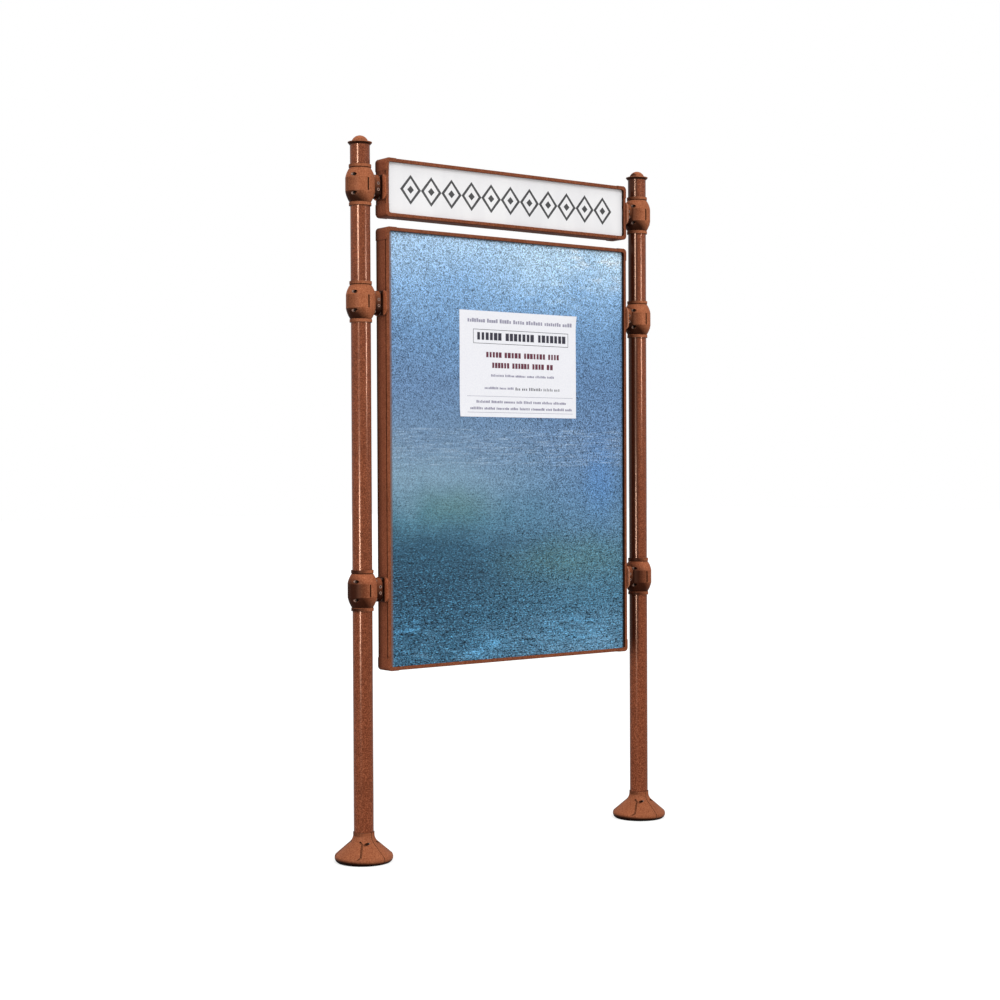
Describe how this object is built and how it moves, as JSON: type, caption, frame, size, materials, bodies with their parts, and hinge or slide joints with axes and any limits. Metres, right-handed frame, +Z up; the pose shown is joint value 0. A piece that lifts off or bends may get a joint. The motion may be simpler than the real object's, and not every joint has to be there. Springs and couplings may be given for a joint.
{
  "type": "outdoor notice board",
  "caption": "Outdoor notice board: a framed header sign above a tall framed poster board, clamped by cast collars between round posts with domed caps and conical base covers.",
  "frame": {"origin": "on the ground, midway between the two posts", "axes": "+Z up, +X to the right of a person reading the board, the board's front faces -Y"},
  "size_m": [1.367, 0.187, 2.312],
  "materials": {
    "post_paint": "satin",
    "cast_paint": "satin",
    "zinc_sheet": "satin",
    "zinc_steel": "satin",
    "sign_enamel": "satin",
    "paper": "matte",
    "screw_steel": "satin"
  },
  "bodies": {
    "posts": {"base_plate_left": "post_paint", "base_plate_right": "post_paint", "cap_left": "cast_paint", "cap_right": "cast_paint", "post_left": "post_paint", "post_right": "post_paint"},
    "board": {"board_backing_strips": "zinc_steel", "board_collar_lower_left_front": "cast_paint", "board_collar_lower_left_rear": "cast_paint", "board_collar_lower_right_front": "cast_paint", "board_collar_lower_right_rear": "cast_paint", "board_collar_screws": "screw_steel", "board_collar_upper_left_front": "cast_paint", "board_collar_upper_left_rear": "cast_paint", "board_collar_upper_right_front": "cast_paint", "board_collar_upper_right_rear": "cast_paint", "board_corner_bottom_left": "cast_paint", "board_corner_bottom_right": "cast_paint", "board_corner_screws": "screw_steel", "board_corner_top_left": "cast_paint", "board_corner_top_right": "cast_paint", "board_pad_lower_left": "cast_paint", "board_pad_lower_right": "cast_paint", "board_pad_screws": "screw_steel", "board_pad_upper_left": "cast_paint", "board_pad_upper_right": "cast_paint", "board_rail_bottom": "cast_paint", "board_rail_left": "cast_paint", "board_rail_right": "cast_paint", "board_rail_top": "cast_paint", "board_sheet_back": "zinc_sheet", "board_sheet_front": "zinc_sheet", "notice_sheet": "paper"},
    "sign": {"sign_backing_strips": "zinc_steel", "sign_collar_left_front": "cast_paint", "sign_collar_left_rear": "cast_paint", "sign_collar_right_front": "cast_paint", "sign_collar_right_rear": "cast_paint", "sign_collar_screws": "screw_steel", "sign_corner_bottom_left": "cast_paint", "sign_corner_bottom_right": "cast_paint", "sign_corner_screws": "screw_steel", "sign_corner_top_left": "cast_paint", "sign_corner_top_right": "cast_paint", "sign_pad_left": "cast_paint", "sign_pad_right": "cast_paint", "sign_pad_screws": "screw_steel", "sign_rail_bottom": "cast_paint", "sign_rail_left": "cast_paint", "sign_rail_right": "cast_paint", "sign_rail_top": "cast_paint", "sign_sheet_back": "sign_enamel", "sign_sheet_front": "sign_enamel"},
    "left_base_cover": {"base_cover_left_inner_half": "cast_paint", "base_cover_left_outer_half": "cast_paint", "base_cover_left_screws": "screw_steel"},
    "right_base_cover": {"base_cover_right_inner_half": "cast_paint", "base_cover_right_outer_half": "cast_paint", "base_cover_right_screws": "screw_steel"}
  },
  "joints": [
    {"name": "board_height", "type": "slide", "parent": "posts", "child": "board", "axis": [0, 0, 1], "range_m": [-0.25, 0.015]},
    {"name": "sign_height", "type": "slide", "parent": "posts", "child": "sign", "axis": [0, 0, 1], "range_m": [-0.01, 0.05]},
    {"name": "left_cover_lift", "type": "slide", "parent": "posts", "child": "left_base_cover", "axis": [0, 0, 1], "range_m": [0, 0.12]},
    {"name": "right_cover_lift", "type": "slide", "parent": "posts", "child": "right_base_cover", "axis": [0, 0, 1], "range_m": [0, 0.12]}
  ]
}
